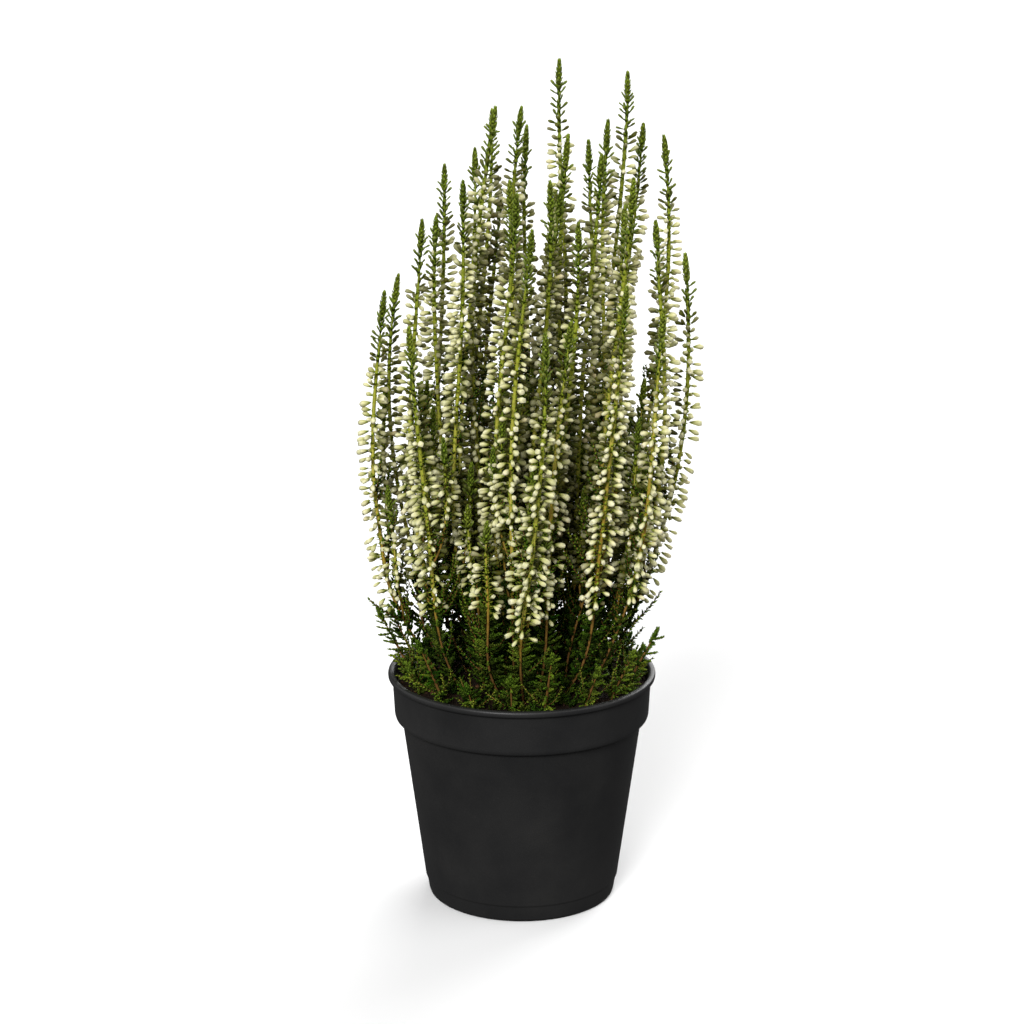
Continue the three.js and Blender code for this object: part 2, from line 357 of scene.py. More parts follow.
def uneven(shape, amount, rng):
    """The shape with its points moved at random across its length, by up to amount of its radius."""
    points = shape["points"].copy()
    points[:, :2] *= 1 + rng.uniform(-amount, amount, (len(points), 2))
    points[:, 2] += 0.3 * rng.uniform(-amount, amount, len(points)) * points[:, 2]
    return {**shape, "points": points}


def make_bud(rings, dimple, bend, rng):
    """A bud of four sepals round a narrow base, widest near its blunt end, which is sunk by dimple."""
    # The grooves between the sepals get painted shade: a lower tone at their corners.
    shape = spindle(rings, 2 * SEPALS, groove=0.16, painted_groove_shade=0.4)
    shape["points"][-1, 2] -= dimple
    return uneven(bent(shape, bend), 0.09, rng)


def make_sprig(rng):
    """A leafy side sprig along +Z, one unit long: pairs of scale leaves, each pair across the last."""
    twig_radius, leaf_width, leaf_depth = 0.05, 0.1, 0.065
    twig_axes = np.diag([twig_radius, twig_radius, 0.9])
    parts = [moved_shape(spindle([(1.0, 0.4)], 3), (0, 0, 0), twig_axes, 0.1, -0.2)]
    for k in range(SPRIG_PAIRS):
        share = (k + 0.4) / (SPRIG_PAIRS + 0.6)
        for half in (0, 1):
            turn = math.pi * (half + 0.5 * (k % 2)) + rng.normal(0, 0.16)
            rise = math.radians(54 + 14 * share - rng.normal(0, 5))
            length = 0.3 * (1 - 0.25 * share) * rng.uniform(0.88, 1.12)
            axes = outward_axes(UPRIGHT, turn, rise, length, leaf_width, leaf_depth)[0]
            place = (0, 0.12 * share**2, 0.86 * share)
            along = 0.55 * share + 0.45 * LEAF["along"]
            parts.append(moved_shape(LEAF, place, axes, along, rng.uniform(-0.2, 0.2)))
    return merge_shapes(parts)


CLOSED_RINGS = [(0.34, 0.08), (0.76, 0.36), (1.0, 0.66), (0.68, 0.89)]
PARTED_RINGS = [(0.34, 0.08), (0.72, 0.4), (1.04, 0.76), (0.78, 1.0)]
BUD_KINDS = [  # rings, how deep the end is sunk and how far it is bent
    (CLOSED_RINGS, 0, 0.1),
    (CLOSED_RINGS, 0, 0.4),
    (CLOSED_RINGS, 0, 0.6),
    (PARTED_RINGS, 0.2, 0.2),
    (PARTED_RINGS, 0.12, 0.45),
]
BUDS = [make_bud(*kind, draws("bud", k)) for k, kind in enumerate(BUD_KINDS)]
PLAIN_BUD = bent(spindle([(0.62, 0.25), (0.98, 0.78)], 6), 0.3)
PEDICEL = spindle([(1.0, 0.5)], 3)
SCALE = spindle([(0.9, 0.5)], 4)
CANDLE_HEIGHTS, CANDLE_RADII = (0, 0.3, 0.48, 0.72, 0.9, 1), (0.45, 0.94, 1.0, 0.78, 0.44, 0.1)
CANDLE_CORE = spindle([*zip(CANDLE_RADII, CANDLE_HEIGHTS)][1:-1], 6)
# A scale leaf: a keel from its base to its point, and an edge on either side that stands in towards the stem.
LEAF = shape_of(
    np.array([[0, 0, 0], [-1, 1, 0.42], [1, 1, 0.42], [0, 0.4, 1.0]]),
    np.array([[0, 3, 1], [0, 2, 3], [0, 1, 2], [1, 3, 2]]),
    np.array([0, 0.45, 0.45, 1.0]),
)
SPRIGS = [make_sprig(draws("sprig", k)) for k in range(SPRIG_KINDS)]

# ---- a piece of plant: many small closed bodies in one mesh ----

STEM, LEAVES = 0, 1  # places of the materials in a green piece


class Tissue:
    """Gathers triangles and what their materials read: along, tone and age, each from 0 to 1.

    along runs from the base of a bud, leaf or stem to its end. tone is its own random draw, except that it is
    lowered as painted shade in the grooves between a bud's sepals, and in many leaves it is raised or lowered
    as painted light and shade by the light reckoned for them. The last is 1 in the young green growth and 0
    in what is ripe; in buds it also rises to 0.5 as painted shade where little light reaches, and in many
    leaves it is scaled by the reckoned light as painted light and shade."""

    def __init__(self):
        self.points, self.faces, self.kinds = [], [], []
        self.along, self.tone, self.age_and_shade = [], [], []
        self.count = 0

    def add(self, points, faces, along, tone, age_and_shade, kind):
        self.points.append(points)
        self.faces.append(faces + self.count)
        self.kinds.append(np.full(len(faces), kind))
        self.along.append(along)
        self.tone.append(tone)
        self.age_and_shade.append(age_and_shade)
        self.count += len(points)

    def copies(self, shape, places, axes, tone, age_and_shade, kind=0):
        """Copies of a shape: axes is a stack of 3x3 matrices whose columns are its X, Y and Z, to scale."""
        n, m = len(shape["points"]), len(places)
        if m == 0:
            return
        points = places[:, None, :] + np.einsum("mij,nj->mni", axes, shape["points"])
        faces = shape["faces"][None] + n * np.arange(m)[:, None, None]
        along = np.tile(shape["along"], m)
        tone = np.clip(np.repeat(tone, n) + np.tile(shape["tone"], m), 0, 1)
        self.add(points.reshape(-1, 3), faces.reshape(-1, 3), along, tone, np.repeat(age_and_shade, n), kind)

    def mixed(self, shapes, which, places, axes, tone, age_and_shade, kind=0):
        """Copies of several shapes: which says for each place the number of its shape."""
        for w, shape in enumerate(shapes):
            pick = which == w
            self.copies(shape, places[pick], axes[pick], tone[pick], age_and_shade[pick], kind)

    def piece(self, name, materials, slot, *nodes):
        points = np.concatenate(self.points)
        faces = np.concatenate(self.faces)
        mesh = bpy.data.meshes.new(name)
        mesh.vertices.add(len(points))
        mesh.vertices.foreach_set("co", points.astype(np.float32).ravel())
        mesh.loops.add(faces.size)
        mesh.loops.foreach_set("vertex_index", faces.astype(np.int32).ravel())
        mesh.polygons.add(len(faces))
        mesh.polygons.foreach_set("loop_start", np.arange(0, faces.size, 3, dtype=np.int32))
        mesh.polygons.foreach_set("material_index", np.concatenate(self.kinds).astype(np.int32))
        for label, values in (("along", self.along), ("tone", self.tone), ("age_and_shade", self.age_and_shade)):
            attribute = mesh.attributes.new(label, "FLOAT", "POINT")
            attribute.data.foreach_set("value", np.concatenate(values).astype(np.float32))
        mesh.update(calc_edges=True)
        mesh.validate()
        mesh.shade_smooth()
        finish_piece(name, mesh, materials, slot, *nodes)


def finish_piece(name, mesh, materials, slot, *nodes):
    for material in materials:
        mesh.materials.append(material)
    obj = new_object(name, mesh)
    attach(obj, "root")
    if nodes:
        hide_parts(*nodes)


def crossed_pairs(k):
    """Azimuths of buds or leaves that stand in pairs, each pair across the last."""
    return math.pi * (k % 2) + 0.5 * math.pi * ((k // 2) % 2)


def grow_stem(tissue, line, end, radius, taper, sides, ages, rng, girths=((0, 1),)):
    """A woody stem from the start of its line to end, slightly swollen at its nodes.

    It thins to a third over its last stretch, the taper. ages lists pairs of distance and age, and
    girths pairs of distance and share of the radius."""
    rings = max(3, int(end / RING_PITCH))
    s = np.linspace(0, end, rings)
    radius = radius * (1 - 0.67 * smooth_step(s, end - taper, end)) * np.interp(s, *zip(*girths))
    radius = radius * (1 + 0.1 * np.cos(np.arange(rings) * 2.4)) * rng.uniform(0.94, 1.06, rings)
    place, _, u, v = (a[:, None] for a in line.axes(s))
    turn = column(TAU * np.arange(sides) / sides)
    wall = place + radius[:, None, None] * (np.cos(turn) * u + np.sin(turn) * v)
    points = np.concatenate([place[0], wall.reshape(-1, 3), place[-1]])
    tone = np.full(len(points), rng.uniform(0.1, 0.9))
    age_and_shade = np.interp(s, *zip(*ages))
    along, age_and_shade = (np.concatenate([a[:1], np.repeat(a, sides), a[-1:]]) for a in (s / end, age_and_shade))
    tissue.add(points, triangles(closed_faces(rings, sides)), along, tone, age_and_shade, STEM)


def grow_sprigs(tissue, line, start, end, length, facing, rng, age_and_shade):
    """Leafy sprigs along a stem: a rank on either side of the way it faces and a looser one behind."""
    s = np.arange(start, end, SPRIG_PITCH)
    count = len(s)
    azimuth, scatter = np.array(SPRIG_RANKS)[np.arange(count) % len(SPRIG_RANKS)].T
    turn = facing + azimuth + rng.normal(0, 1, count) * scatter
    share = (s - start) / (end - start)
    s = np.clip(s + rng.normal(0, 0.3 * SPRIG_PITCH, count), 0, line.length)
    rise = np.radians(rng.normal(14, 9, count) + 26 * share)
    size = length * (0.7 + 0.3 * np.sin(math.pi * np.clip(0.15 + 0.75 * share, 0, 1)))
    size = size * rng.uniform(0.78, 1.15, count)
    girth = size * rng.uniform(0.85, 1.15, count)
    basis = line.axes(s)
    axes = outward_axes(basis, turn, rise, size, girth, girth)
    # Painted light and shade: the light reckoned for each sprig's side makes well-lit sprigs brighter and
    # younger in colour, and turns shaded ones the dark green of old leaves.
    light = line.light_at(s, turn)
    tone = np.clip(0.08 + 0.75 * light + rng.uniform(-0.25, 0.25, count), 0, 1)
    age_and_shade = np.clip(age_and_shade + rng.normal(0, 0.12, count), 0, 1) * (0.35 + light)
    which = rng.integers(0, SPRIG_KINDS, count)
    tissue.mixed(SPRIGS, which, basis[0], axes, tone, np.clip(age_and_shade, 0, 1), LEAVES)


def grow_front_sprigs(tissue, line, start, end, facing, rng):
    """Short upright sprigs that cross the front of a stem here and there."""
    count = rng.integers(3, 8)
    s = start + (end - start) * rng.random(count) ** 1.4
    turn = facing + rng.uniform(-1.1, 1.1, count)
    rise = np.radians(rng.uniform(38, 66, count))
    size = rng.uniform(3.5, 6.5, count) * MM
    basis = line.axes(s)
    axes = outward_axes(basis, turn, rise, size, size, size)
    tone, age_and_shade = rng.uniform(0.2, 0.9, count), rng.uniform(0.1, 0.6, count)
    tissue.mixed(SPRIGS, rng.integers(0, SPRIG_KINDS, count), basis[0], axes, tone, age_and_shade, LEAVES)


def grow_feather(tissue, line, rng, leaf, age_and_shade, radius):
    """A thin side twig with scale leaves in crossed pairs that get shorter towards its point."""
    grow_stem(tissue, line, line.length, radius, line.length, 3, [(0, 0.05), (line.length, 0.3)], rng)
    pitch = 0.52 * leaf
    s = np.repeat(np.arange(pitch, line.length, pitch), 2)
    count = len(s)
    share = s / line.length
    turn = rng.uniform(0, TAU) + crossed_pairs(np.arange(count)) + rng.normal(0, 0.2, count)
    rise = np.radians(rng.normal(40, 7, count) + 22 * share)
    size = leaf * (1 - 0.3 * share) * rng.uniform(0.85, 1.15, count)
    basis = line.axes(s)
    axes = outward_axes(basis, turn, rise, size, 0.28 * size, 0.18 * size)
    # Painted light and shade: the light reckoned for each leaf's side makes lit leaves brighter and younger
    # in colour, and shaded ones darker and older.
    light = line.light_at(s, turn)
    tone = np.clip(0.12 + 0.7 * light + rng.uniform(-0.2, 0.2, count), 0, 1)
    age_and_shade = (age_and_shade + 0.35 * share**3) * (0.3 + light)
    tissue.copies(LEAF, basis[0], axes, tone, np.clip(age_and_shade, 0, 1), LEAVES)


def grow_feathers(tissue, line, low, high, facing, scatter, count, rng):
    """Leafy side twigs between two places of a stem, shorter higher up, scattered round the way they face."""
    for _ in range(count):
        start = rng.uniform(low, high)
        reach = 1 - 0.45 * min(1, (start - low) / (90 * MM))
        azimuth = facing + rng.uniform(-scatter, scatter)
        rise = math.radians(rng.uniform(35, 60))
        twig = side_line(line, start, azimuth, rise, rng.uniform(18, 30) * reach * MM, 0.5)
        grow_feather(tissue, twig, rng, 2.9 * MM, rng.uniform(0, 0.25), 0.35 * MM)


def grow_candle(tissue, line, start, end, width, rng, age_and_shade):
    """The closed end of a shoot: a pointed body of scale leaves in ranks, pressed to it and overlapping."""
    length = end - start
    _, t, u, v = line.axes(np.array([start + 0.5 * length]))
    core = 0.38 * width
    axes = np.stack([core * u, core * v, length * t], -1)
    tissue.copies(CANDLE_CORE, line.place(np.array([start])), axes, [0.3], [age_and_shade], LEAVES)
    levels = int(length / CANDLE_PITCH)
    share = np.repeat((np.arange(levels) + 0.3) / (levels + 1.2), CANDLE_RANKS)
    s = start + length * share
    count = len(s)
    k = np.arange(count)
    turn = TAU * (k + 0.5 * ((k // CANDLE_RANKS) % 2)) / CANDLE_RANKS + rng.normal(0, 0.12, count)
    leaf = LEAF_LENGTH * rng.uniform(0.9, 1.12, count) * (1 - 0.2 * share)
    here, ahead = (np.interp(x, CANDLE_HEIGHTS, CANDLE_RADII) for x in (share, share + leaf / length))
    low = 0.55 * (0.5 * width * here)
    high = 0.5 * width * ahead + rng.uniform(0.1, 0.55, count) * MM
    rise = np.arccos(np.clip((high - low) / leaf, -0.4, 0.9))
    basis = line.axes(s)
    axes = outward_axes(basis, turn, rise, leaf, 0.36 * width * (1 - 0.35 * share), 0.3 * MM)
    base = basis[0] + column(low) * across(basis, turn)
    tissue.copies(SCALE, base, axes, rng.uniform(0.25, 0.8, count), np.full(count, age_and_shade), LEAVES)


# ---- materials ----

MIX_FACTOR, MIX_A, MIX_B, MIX_RESULT = 0, 6, 7, 2  # sockets of a node that mixes colours


def nodes_of(name):
    material = bpy.data.materials.new(name)
    material.use_nodes = True
    tree = material.node_tree
    return material, tree, tree.nodes["Principled BSDF"]


def fill(node, values):
    """Sets the node's sockets to plain values, or links them to the outputs given for them."""
    for socket, value in values.items():
        if isinstance(value, bpy.types.NodeSocket):
            node.id_data.links.new(value, node.inputs[socket])
        else:
            node.inputs[socket].default_value = value


def attribute(tree, name):
    node = tree.nodes.new("ShaderNodeAttribute")
    node.attribute_name = name
    return node.outputs["Fac"]


def ramp(factor, *stops):
    """A colour ramp through stops of (place, red, green, blue)."""
    node = factor.id_data.nodes.new("ShaderNodeValToRGB")
    elements = node.color_ramp.elements
    while len(elements) < len(stops):
        elements.new(0.5)
    for element, (place, *colour) in zip(elements, stops):
        element.position = place
        element.color = (*colour, 1)
    fill(node, {"Fac": factor})
    return node.outputs["Color"]


def math_node(operation, a, b):
    node = a.id_data.nodes.new("ShaderNodeMath")
    node.operation = operation
    fill(node, {0: a, 1: b})
    return node.outputs[0]


def mix(kind, factor, a, b):
    node = a.id_data.nodes.new("ShaderNodeMix")
    node.data_type = "RGBA"
    node.blend_type = kind
    fill(node, {MIX_FACTOR: factor, MIX_A: a, MIX_B: b})
    return node.outputs[MIX_RESULT]


def tinted(colour, strength, factor, *stops):
    """The colour multiplied by a ramp, as far as strength says."""
    return mix("MULTIPLY", strength, colour, ramp(factor, *stops))


def noise_of(tree, size, detail=3.0, roughness=0.55):
    """Noise whose largest blotches are about this many metres across."""
    place = tree.nodes.new("ShaderNodeTexCoord").outputs["Object"]
    node = tree.nodes.new("ShaderNodeTexNoise")
    fill(node, {"Vector": place, "Scale": 1 / size, "Detail": detail, "Roughness": roughness})
    return node.outputs["Fac"]


def bump(shader, height, distance):
    node = shader.id_data.nodes.new("ShaderNodeBump")
    fill(node, {"Distance": distance, "Height": height})
    fill(shader, {"Normal": node.outputs["Normal"]})


def set_surface(shader, colour, roughness, specular):
    fill(shader, {"Base Color": colour, "Roughness": roughness, "Specular IOR Level": specular})


def bud_material():
    """Cream sepals, greener at the base and in unripe buds, each bud a little different, with painted shade:
    dark dull olive in buds that little light reaches, and darker grooves between the sepals.
    """
    material, tree, shader = nodes_of("heather_bud")
    along, age_and_shade = attribute(tree, "along"), attribute(tree, "age_and_shade")
    ripe = ramp(
        along,
        (0.0, 0.18, 0.23, 0.03),
        (0.22, 0.43, 0.45, 0.13),
        (0.55, 0.74, 0.71, 0.39),
        (1.0, 0.87, 0.84, 0.6),
    )
    painted_shade = ramp(along, (0.0, 0.03, 0.045, 0.006), (0.4, 0.05, 0.053, 0.006), (1.0, 0.107, 0.102, 0.014))
    unripe = ramp(along, (0.0, 0.05, 0.085, 0.01), (0.5, 0.12, 0.17, 0.02), (1.0, 0.22, 0.26, 0.06))
    # Painted shade: values up to 0.5 mix the ripe cream towards the dark dull olive of buds in shade; values
    # above 0.5 mix in the green of unripe buds.
    colour = mix("MIX", ramp(age_and_shade, (0.0, 0, 0, 0), (0.5, 1, 1, 1)), ripe, painted_shade)
    colour = mix("MIX", ramp(age_and_shade, (0.5, 0, 0, 0), (1.0, 1, 1, 1)), colour, unripe)
    colour = tinted(
        colour,
        1.0,
        attribute(tree, "tone"),
        (0.0, 0.74, 0.76, 0.62),
        (0.35, 0.95, 0.95, 0.86),
        (0.75, 1, 1, 1),
        (1.0, 1, 0.88, 0.82),
    )
    colour = tinted(colour, 0.35, noise_of(tree, 1.3 * MM), (0.3, 0.7, 0.72, 0.56), (0.6, 1, 1, 1))
    set_surface(shader, colour, 0.45, 0.14)
    fill(shader, {"Subsurface Weight": 0.12, "Subsurface Scale": 0.6 * MM})
    fill(shader, {"Subsurface Radius": (1.0, 0.9, 0.5)})
    bump(shader, noise_of(tree, 0.7 * MM), 0.12 * MM)
    return material


def leaf_material():
    """Dark green scale leaves with paler points, and yellow-green ones in young growth; where their values
    are set by the reckoned light, they get painted light and shade: brighter in the open, darker deep in the
    plant.
    """
    material, tree, shader = nodes_of("heather_leaf")
    along = attribute(tree, "along")
    old = ramp(along, (0.0, 0.006, 0.02, 0.0015), (0.5, 0.014, 0.052, 0.002), (1.0, 0.05, 0.14, 0.006))
    young = ramp(along, (0.0, 0.12, 0.15, 0.018), (1.0, 0.29, 0.33, 0.045))
    colour = tinted(
        mix("MIX", attribute(tree, "age_and_shade"), old, young),
        1.0,
        attribute(tree, "tone"),
        (0.0, 0.16, 0.15, 0.12),
        (0.3, 0.5, 0.52, 0.42),
        (0.55, 1, 1, 0.9),
        (0.85, 1.22, 1.35, 0.9),
        (1.0, 1.45, 1.45, 0.8),
    )
    set_surface(shader, colour, 0.5, 0.06)
    bump(shader, noise_of(tree, 0.5 * MM), 0.06 * MM)
    return material


def stem_material():
    """Bark: red-brown at the foot, yellow-green above, green at the tip, with blotchy streaks."""
    material, tree, shader = nodes_of("heather_stem")
    colour = ramp(
        attribute(tree, "age_and_shade"),
        (0.0, 0.09, 0.045, 0.014),
        (0.2, 0.21, 0.108, 0.03),
        (0.38, 0.38, 0.25, 0.035),
        (0.6, 0.5, 0.46, 0.085),
        (0.8, 0.34, 0.37, 0.035),
        (1.0, 0.16, 0.22, 0.018),
    )
    streak = noise_of(tree, 1.1 * MM, 4.0)
    colour = tinted(colour, 0.6, streak, (0.32, 0.5, 0.42, 0.35), (0.62, 1.1, 1.1, 1.0))
    set_surface(shader, colour, 0.55, 0.2)
    bump(shader, streak, 0.15 * MM)
    return material


def plastic_material():
    """Dark moulded plastic with a fine grain and a little dust in broad patches."""
    material, tree, shader = nodes_of("pot_plastic")
    patches = noise_of(tree, 28 * MM, 5.0)
    grain = noise_of(tree, 0.5 * MM, 2.0)
    colour = ramp(patches, (0.35, 0.0135, 0.0136, 0.014), (0.7, 0.021, 0.0208, 0.0205))
    colour = tinted(colour, 1.0, grain, (0.6, 1, 1, 1), (0.78, 1.5, 1.45, 1.4))
    wear = tree.nodes.new("ShaderNodeMapRange")
    fill(wear, {"Value": patches, "To Min": 0.36, "To Max": 0.54})
    set_surface(shader, colour, wear.outputs["Result"], 0.3)
    bump(shader, grain, 0.04 * MM)
    return material


def soil_material():
    """Moist peat: nearly black, with brown fibres and a crumbly surface."""
    material, tree, shader = nodes_of("peat")
    coarse = noise_of(tree, 5 * MM, 6.0, 0.65)
    fine = noise_of(tree, 1.1 * MM, 5.0, 0.7)
    colour = ramp(coarse, (0.3, 0.006, 0.004, 0.003), (0.5, 0.017, 0.01, 0.006), (0.7, 0.05, 0.028, 0.013))
    colour = tinted(colour, 0.8, fine, (0.3, 0.45, 0.4, 0.38), (0.65, 1.3, 1.2, 1.1))
    set_surface(shader, colour, 0.9, 0.12)
    bump(shader, math_node("ADD", coarse, fine), 1.1 * MM)
    return material


def crumb_material():
    """Bark and peat crumbs: each its own brown."""
    material, tree, shader = nodes_of("bark_crumb")
    colour = ramp(
        attribute(tree, "tone"),
        (0.0, 0.010, 0.006, 0.004),
        (0.45, 0.035, 0.017, 0.008),
        (0.8, 0.09, 0.042, 0.018),
        (1.0, 0.24, 0.15, 0.07),
    )
    grain = noise_of(tree, 0.9 * MM, 4.0, 0.65)
    colour = tinted(colour, 0.8, grain, (0.3, 0.5, 0.45, 0.4), (0.65, 1.2, 1.15, 1.1))
    set_surface(shader, colour, 0.85, 0.15)
    bump(shader, grain, 0.4 * MM)
    return material


bud_finish, leaf_finish, stem_finish = bud_material(), leaf_material(), stem_material()

# ---- pot ----


def rounded(corners):
    """An outline of (radius, height) points through corners of (radius, height, rounding)."""
    steps = 3
    share = 0.45  # of a side, that the rounding of one corner takes at the most
    points = [Vector(corners[0][:2])]
    for before, corner, after in zip(corners, corners[1:], corners[2:]):
        p, a, b = Vector(corner[:2]), Vector(before[:2]), Vector(after[:2])
        to_a, to_b = (a - p), (b - p)
        reach = min(corner[2], share * to_a.length, share * to_b.length)
        start, end = p + to_a.normalized() * reach, p + to_b.normalized() * reach
        for k in range(steps + 1):
            t = k / steps
            points.append(start.lerp(p, t).lerp(p.lerp(end, t), t))
    points.append(Vector(corners[-1][:2]))
    return [(p.x, p.y) for p in points]


def lathe(outline, sides, name):
    """A closed mesh turned round Z from an outline of (radius, height) that starts and ends on the axis."""
    mesh = bpy.data.meshes.new(name)
    mesh.from_pydata(turned(outline, sides).tolist(), [], closed_faces(len(outline) - 2, sides))
    mesh.update()
    return mesh


def pot_outline():
    band_bottom = POT_HEIGHT - BAND_HEIGHT
    floor_top = WALL + CHANNEL
    inner_base = BASE_RADIUS - WALL
    inner_shoulder = SHOULDER_RADIUS - WALL
    outside = [
        (0, 0, 0),
        (FOOT_RADIUS, 0, 0.5 * MM),
        (FOOT_RADIUS + 1.4 * MM, CHANNEL, 0.5 * MM),
        (RING_RADIUS - 1.4 * MM, CHANNEL, 0.5 * MM),
        (RING_RADIUS, 0, 0.5 * MM),
        (BASE_RADIUS - 0.6 * MM, 0, 1.5 * MM),
        (BASE_RADIUS + 0.6 * MM, 7 * MM, 0.6 * MM),
        (BASE_RADIUS + 1.1 * MM, 7.6 * MM, 0.6 * MM),
        (SHOULDER_RADIUS, band_bottom - 1.2 * MM, 0.5 * MM),
        (BAND_RADIUS - 0.4 * MM, band_bottom - 0.1 * MM, 0.9 * MM),
        (BAND_RADIUS, band_bottom + 1.2 * MM, 0.9 * MM),
        (BAND_RADIUS + 0.8 * MM, POT_HEIGHT - LIP_HEIGHT, 0.6 * MM),
        (POT_RADIUS, POT_HEIGHT - LIP_HEIGHT + 0.7 * MM, 0.7 * MM),
        (POT_RADIUS, POT_HEIGHT, 0.9 * MM),
    ]
    inside = [
        (POT_RADIUS - LIP_WIDTH, POT_HEIGHT, 0.7 * MM),
        (BAND_RADIUS + 0.8 * MM - WALL, POT_HEIGHT - 2 * MM, 0.5 * MM),
        (BAND_RADIUS - WALL, band_bottom + 1.6 * MM, 0.5 * MM),
        (inner_shoulder, band_bottom, 0.5 * MM),
        (inner_base + 0.5 * MM, 4 * MM, 0.5 * MM),
        (inner_base - MM, WALL, 0.5 * MM),
        (RING_RADIUS + 0.6 * MM, WALL, 0.4 * MM),
        (RING_RADIUS - 0.8 * MM, floor_top, 0.4 * MM),
        (FOOT_RADIUS + 0.8 * MM, floor_top, 0.4 * MM),
        (FOOT_RADIUS - 0.6 * MM, WALL, 0.4 * MM),
        (0, WALL, 0),
    ]
    return rounded(outside + inside)


def drilled(mesh):
    """The pot's mesh with its drain holes cut through the channel in its base."""
    body = new_object("pot_blank", mesh)
    middle = (FOOT_RADIUS + RING_RADIUS) / 2
    low, high = -2 * MM, 8 * MM
    outline = [(0, low), (DRAIN_RADIUS, low), (DRAIN_RADIUS, high), (0, high)]
    drills = []
    for i in range(DRAINS):
        angle = TAU * (i + 0.5) / DRAINS
        drill = new_object(f"drill_{i}", lathe(outline, DRILL_SIDES, f"drill_{i}"))
        drill.location = (middle * math.cos(angle), middle * math.sin(angle), 0)
        drill.rotation_euler.z = angle + 0.5 * TAU / DRILL_SIDES  # no corner of it meets a corner of the pot
        cut = body.modifiers.new(f"drain_{i}", "BOOLEAN")
        cut.operation, cut.solver, cut.object = "DIFFERENCE", "EXACT", drill
        drills.append(drill)
    view = bpy.context.evaluated_depsgraph_get()
    result = bpy.data.meshes.new_from_object(body.evaluated_get(view))
    for obj in (body, *drills):
        bpy.data.objects.remove(obj)
    return result


def make_pot(material):
    mesh = drilled(lathe(pot_outline(), POT_SIDES, "pot_wall"))
    mesh.shade_smooth()
    mesh.set_sharp_from_angle(angle=math.radians(38))
    finish_piece("nursery_pot", mesh, [material], "pot_plastic", "pot")


# ---- soil ----


def soil_height(x, y):
    """The soil's surface: a low mound, lumpy and crumbly."""
    r = math.hypot(x, y)
    mound = SOIL_EDGE + SOIL_MOUND * (1 - (r / SOIL_RADIUS) ** 2)
    lumps = 1.1 * noise.noise(Vector((x, y, 0)) / (9 * MM))
    small_lumps = 0.9 * noise.noise(Vector((x, y, 4)) / (3.2 * MM))
    crumbs = 0.5 * abs(noise.noise(Vector((x, y, 9 * MM)) / (1.4 * MM)))
    edge = 1 - smooth_step(r, SOIL_RADIUS - 1.5 * MM, SOIL_RADIUS)
    return mound + (lumps + small_lumps + crumbs) * MM * (0.3 + 0.7 * float(edge))


def make_soil(material):
    low = WALL + CHANNEL + GAP
    side = [
        (0, low),
        (BASE_RADIUS - WALL - MM, low),
        (SHOULDER_RADIUS - WALL - GAP, POT_HEIGHT - BAND_HEIGHT),
        (SOIL_RADIUS - 0.6 * MM, POT_HEIGHT - BAND_HEIGHT + 3 * MM),
    ]
    top = [(SOIL_RADIUS * (1 - k / SOIL_RINGS), SOIL_EDGE) for k in range(SOIL_RINGS)]
    mesh = lathe(side + top + [(0, SOIL_EDGE)], SOIL_SIDES, "soil_body")
    for vertex in mesh.vertices:
        if vertex.co.z > SOIL_EDGE - MM:
            vertex.co.z = soil_height(vertex.co.x, vertex.co.y)
    mesh.shade_smooth()
    finish_piece("soil_surface", mesh, [material], "soil", "soil")


def lump_shape(rng):
    """An uneven crumb: a spindle of few sides, knocked out of true."""
    shape = spindle([(0.46, 0.25), (0.42, 0.75)], 5)
    points = shape["points"] - np.array([0, 0, 0.5])
    return shape_of(points * rng.uniform(0.72, 1.25, points.shape), shape["faces"], shape["along"])


def scatter_crumbs(material):
    """Loose crumbs on the soil, most of them small and dark."""
    rng = draws("crumbs")
    tissue = Tissue()
    radius = (SOIL_RADIUS - 1.5 * MM) * np.sqrt(rng.uniform(0.12, 1, CRUMBS))
    angle = rng.uniform(0, TAU, CRUMBS)
    x, y = radius * np.cos(angle), radius * np.sin(angle)
    size = rng.uniform(0.9, 2.2, CRUMBS) * MM * (1 + 0.8 * (rng.random(CRUMBS) < 0.1))
    z = np.array([soil_height(*p) for p in zip(x, y)]) + 0.12 * size
    places = np.stack([x, y, z], -1)
    q = unit(rng.normal(size=(CRUMBS, 3)))
    w = unit(np.cross(q, rng.normal(size=(CRUMBS, 3))))
    axes = np.stack([q, 0.75 * w, 1.2 * np.cross(q, w)], -1) * size[:, None, None]
    shapes = [lump_shape(rng) for _ in range(CRUMB_KINDS)]
    tone = rng.random((CRUMB_KINDS, CRUMBS // CRUMB_KINDS)).T.ravel() ** 1.7
    tissue.mixed(shapes, np.arange(CRUMBS) % CRUMB_KINDS, places, axes, tone, np.zeros(CRUMBS))
    tissue.piece("peat_crumbs", [material], "soil")


